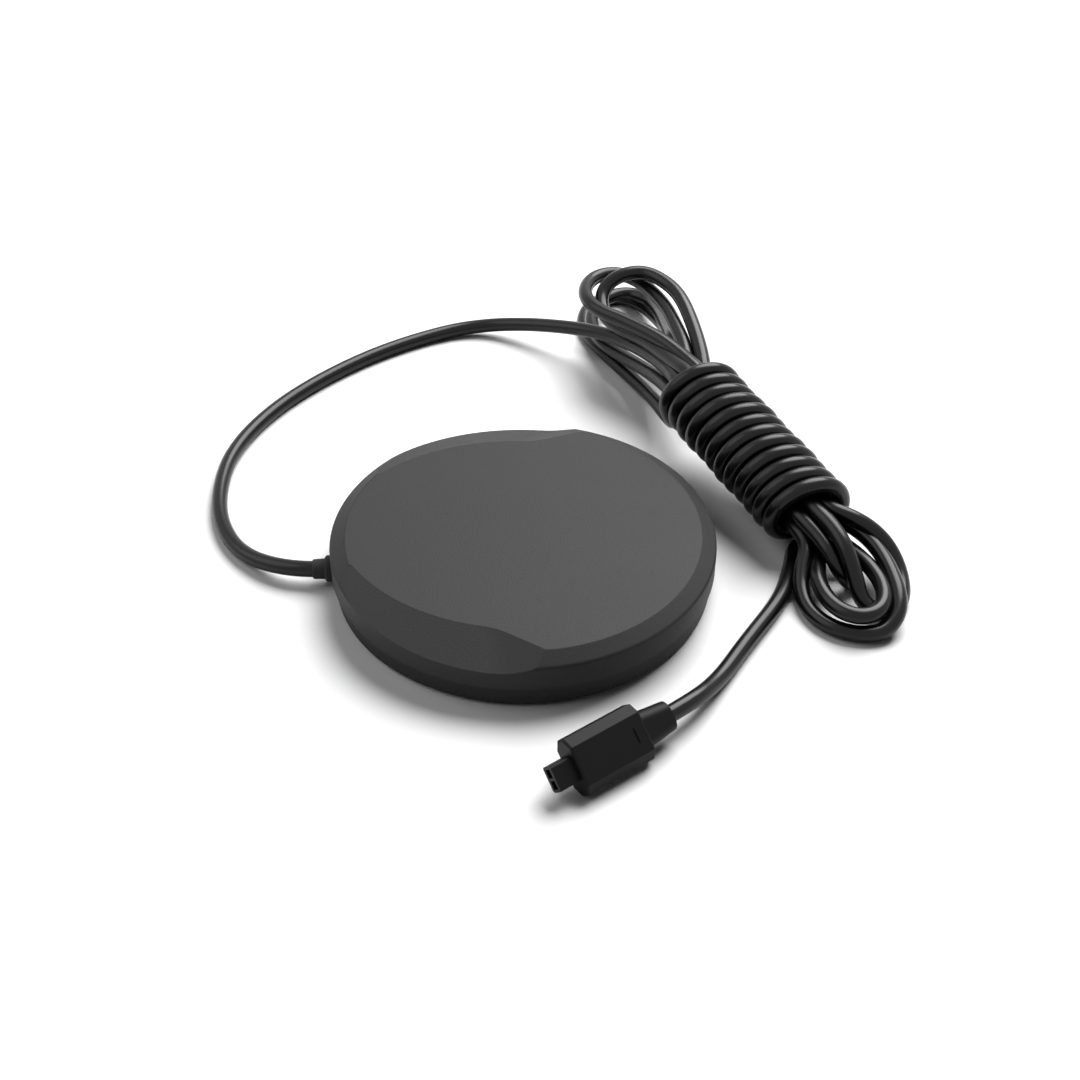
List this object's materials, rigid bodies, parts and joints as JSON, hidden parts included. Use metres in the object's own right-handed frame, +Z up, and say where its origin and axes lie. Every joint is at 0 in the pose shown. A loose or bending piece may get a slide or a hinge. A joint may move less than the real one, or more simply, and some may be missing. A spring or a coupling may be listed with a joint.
{
  "type": "foot_control_pedal",
  "caption": "Round hinged foot speed control pedal, 127 mm across, with a 5.5 mm lead tied up in a hank and a two-pole moulded plug.",
  "frame": {"origin": "bottom centre of the pedal's resting face, under the middle of the round cover", "axes": "+Z up, +Y towards the hinge and the lead, -Y towards the edge that is pressed, +X to the right of someone who presses it"},
  "size_m": [0.2825, 0.244, 0.0418],
  "materials": {
    "cover_plastic": "fine matt moulded texture",
    "base_plastic": "matt moulded",
    "foot_rubber": "matt",
    "bumper_rubber": "matt",
    "plate_steel": "zinc plated sheet",
    "screw_steel": "zinc plated",
    "spring_steel": "drawn wire",
    "pin_steel": "ground",
    "gear_plastic": "natural acetal",
    "pot_case": "moulded",
    "board_laminate": "solder mask",
    "chip_plastic": "moulded",
    "header_plastic": "moulded",
    "cord_jacket": "semi-gloss jacket",
    "core_red": "insulation",
    "core_black": "insulation",
    "core_white": "insulation",
    "sensor_wire": "insulation",
    "gland_rubber": "moulded",
    "plug_plastic": "fine moulded texture",
    "contact_metal": "tinned brass"
  },
  "bodies": {
    "base": {"base_shell": "base_plastic", "foot_pad_1": "foot_rubber", "foot_pad_2": "foot_rubber", "foot_pad_3": "foot_rubber", "foot_pad_4": "foot_rubber", "ballast_plate": "plate_steel", "ballast_screws": "screw_steel", "hinge_pin_left": "pin_steel", "hinge_pin_right": "pin_steel", "return_spring_left": "spring_steel", "return_spring_right": "spring_steel", "stop_bumper_left": "bumper_rubber", "stop_bumper_right": "bumper_rubber", "pot_body": "pot_case", "pot_bracket": "plate_steel", "bracket_screws": "screw_steel", "circuit_board": "board_laminate", "board_header": "header_plastic", "board_parts": "chip_plastic", "board_screws": "screw_steel", "core_red": "core_red", "core_black": "core_black", "core_white": "core_white", "sensor_wires": "sensor_wire", "cord_clamp": "base_plastic", "clamp_screws": "screw_steel", "cord_gland": "gland_rubber", "cord_pedal_run": "cord_jacket", "cord_hank": "cord_jacket", "cord_plug_run": "cord_jacket", "plug_sleeve": "plug_plastic", "plug_body": "plug_plastic", "plug_nose": "plug_plastic", "plug_contacts": "contact_metal"},
    "cover": {"top_cover": "cover_plastic", "drive_rack": "gear_plastic", "rack_screws": "screw_steel"},
    "wiper": {"drive_pinion": "gear_plastic", "pot_shaft": "pin_steel"}
  },
  "joints": [
    {"name": "cover_hinge", "type": "hinge", "parent": "base", "child": "cover", "pos_m": [0, 0.048, 0.01], "axis": [1, 0, 0], "range_deg": [0, 2.3], "stiffness_Nm_per_rad": 27, "springref_deg": -1.15, "deforming": ["return_spring_left", "return_spring_right"]},
    {"name": "wiper_turn", "type": "hinge", "parent": "base", "child": "wiper", "pos_m": [0, -0.042, 0.0094], "axis": [1, 0, 0], "range_deg": [-50, 0.5]}
  ],
  "couplings": [
    {"joint": "wiper_turn", "follows": "cover_hinge", "ratio": -21.5}
  ]
}
